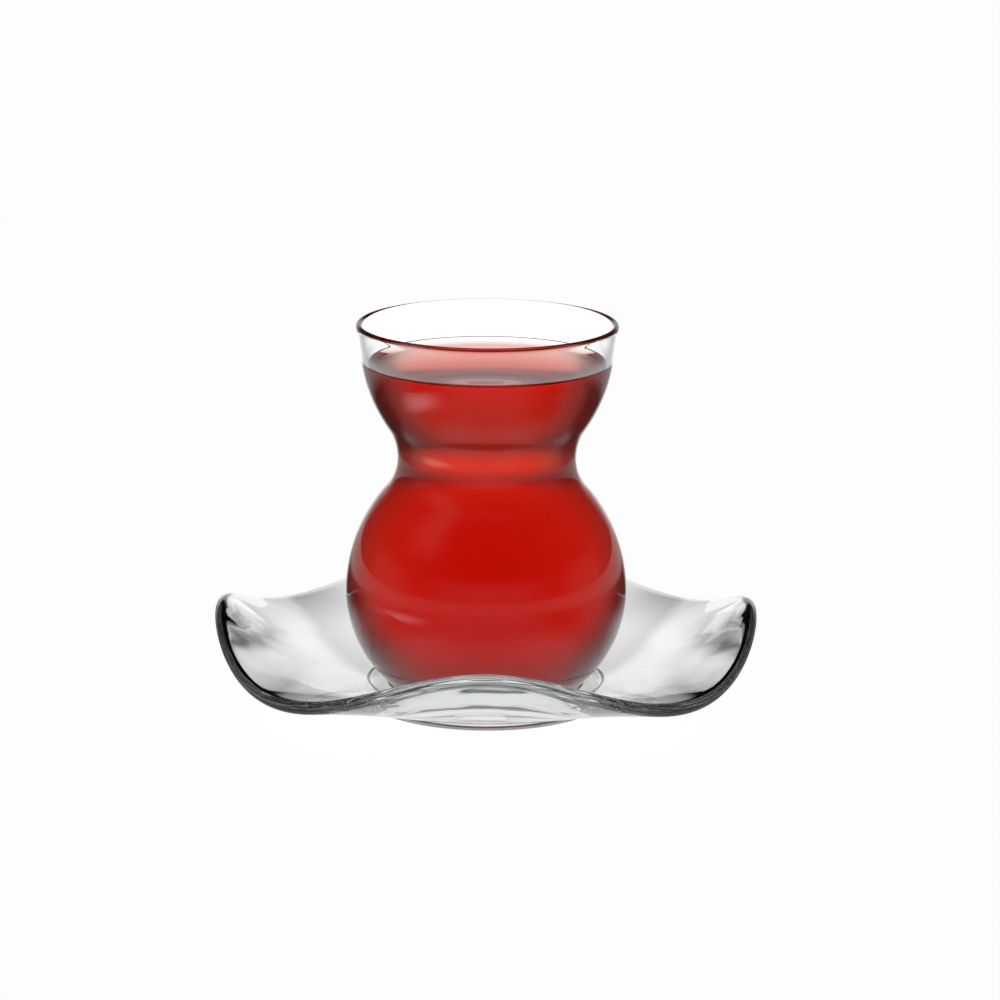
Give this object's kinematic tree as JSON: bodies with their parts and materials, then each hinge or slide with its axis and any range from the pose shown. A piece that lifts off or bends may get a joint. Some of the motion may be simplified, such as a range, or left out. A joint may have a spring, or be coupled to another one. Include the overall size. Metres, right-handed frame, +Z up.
{
  "type": "turkish tea glass",
  "caption": "Hourglass tea glass with a round belly, filled with red tea, standing on a wavy clear glass saucer.",
  "frame": {"origin": "centre of the saucer's foot ring, on the table", "axes": "+Z up along the axis of the glass; crests of the saucer's lip point along +X, +Y, -X and -Y"},
  "size_m": [0.1216, 0.1216, 0.0861],
  "materials": {
    "saucer_glass": "clear pressed soda-lime glass, fire-polished",
    "cup_glass": "clear blown soda-lime glass, fire-polished rim",
    "tea": "clear red brewed tea, still surface"
  },
  "bodies": {
    "root": {"saucer": "saucer_glass", "tea_glass": "cup_glass", "tea": "tea"}
  },
  "joints": []
}
